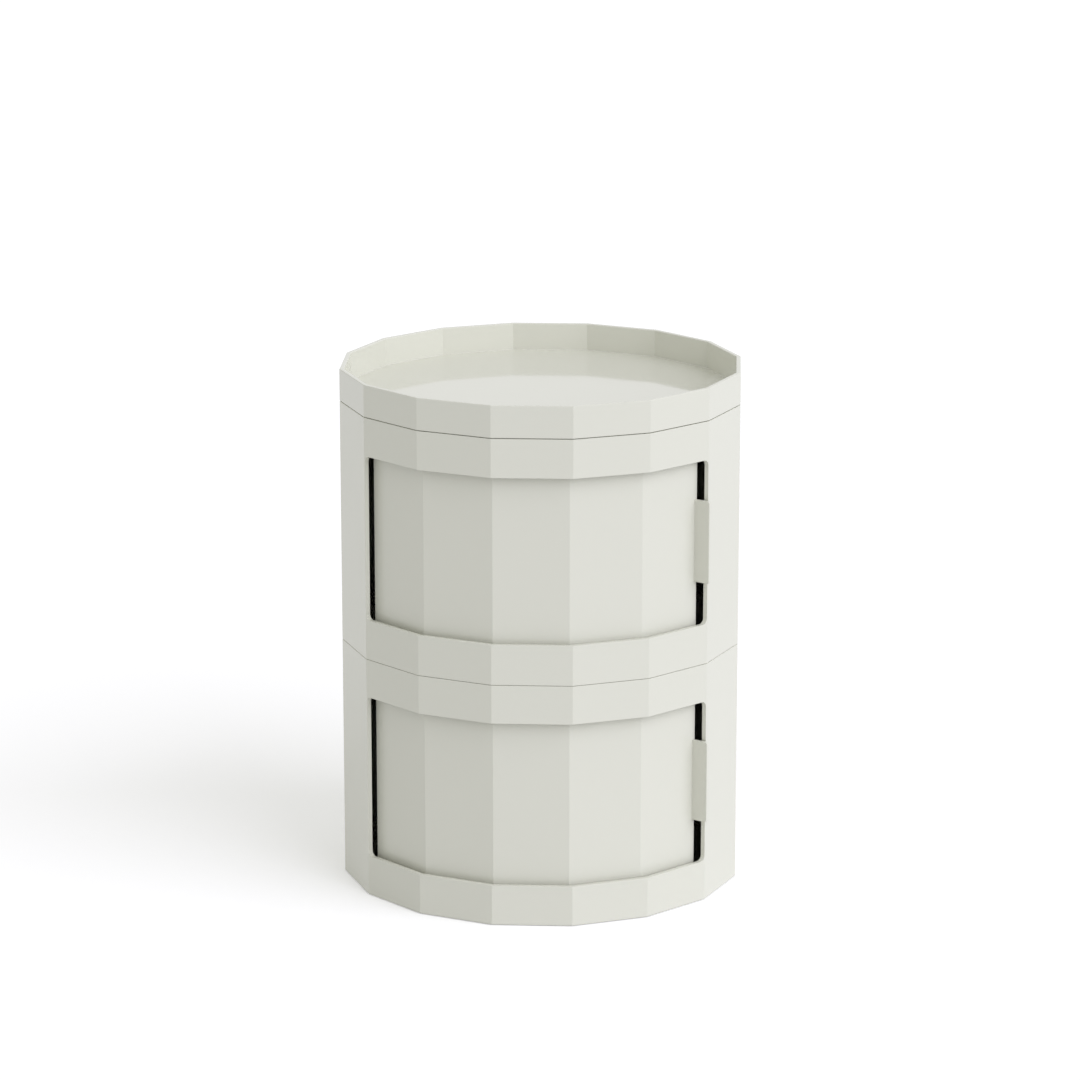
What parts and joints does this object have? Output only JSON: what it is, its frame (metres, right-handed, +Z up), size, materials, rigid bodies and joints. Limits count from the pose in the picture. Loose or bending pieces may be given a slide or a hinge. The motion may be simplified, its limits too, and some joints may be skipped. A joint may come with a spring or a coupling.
{
  "type": "round side cabinet",
  "caption": "Faceted drum-shaped side cabinet: stacked plastic modules with sliding curved doors behind front openings, under a lift-off tray lid with a raised rim.",
  "frame": {"origin": "on the ground under the axis of the drum", "axes": "+Z up along the axis of the drum; -Y is the front, where the doors are; +X is to the right seen from the front"},
  "size_m": [0.3726, 0.3726, 0.491],
  "materials": {
    "shell_plastic": "satin-gloss moulded plastic, pale warm grey-green",
    "door_plastic": "satin-gloss moulded plastic, pale warm grey-green",
    "lid_plastic": "glossy moulded plastic, pale warm grey-green",
    "glide_nylon": "natural white nylon",
    "stop_rubber": "dark grey rubber",
    "foot_rubber": "dark grey rubber"
  },
  "bodies": {
    "lower_module": {"lower_shell": "shell_plastic", "base_floor": "shell_plastic", "lower_top_ring": "shell_plastic", "lower_stop_closed": "stop_rubber", "lower_stop_open": "stop_rubber", "foot_1": "foot_rubber", "foot_2": "foot_rubber", "foot_3": "foot_rubber", "foot_4": "foot_rubber", "foot_5": "foot_rubber", "foot_6": "foot_rubber"},
    "lower_sliding_door": {"lower_door": "door_plastic", "lower_glide_bottom_left": "glide_nylon", "lower_glide_bottom_right": "glide_nylon", "lower_glide_top_left": "glide_nylon", "lower_glide_top_right": "glide_nylon"},
    "upper_module": {"upper_shell": "shell_plastic", "upper_floor": "shell_plastic", "upper_top_ring": "shell_plastic", "upper_stop_closed": "stop_rubber", "upper_stop_open": "stop_rubber"},
    "upper_sliding_door": {"upper_door": "door_plastic", "upper_glide_bottom_left": "glide_nylon", "upper_glide_bottom_right": "glide_nylon", "upper_glide_top_left": "glide_nylon", "upper_glide_top_right": "glide_nylon"},
    "lid": {"tray_lid": "lid_plastic"}
  },
  "joints": [
    {"name": "lower_door_slide", "type": "hinge", "parent": "lower_module", "child": "lower_sliding_door", "pos_m": [0, 0, 0.1155], "axis": [0, 0, -1], "range_deg": [0, 105]},
    {"name": "upper_door_slide", "type": "hinge", "parent": "upper_module", "child": "upper_sliding_door", "pos_m": [0, 0, 0.3455], "axis": [0, 0, -1], "range_deg": [0, 105]},
    {"name": "upper_module_lift", "type": "slide", "parent": "lower_module", "child": "upper_module", "axis": [0, 0, 1], "range_m": [0, 0.06]},
    {"name": "lid_lift", "type": "slide", "parent": "upper_module", "child": "lid", "axis": [0, 0, 1], "range_m": [0, 0.06]}
  ]
}
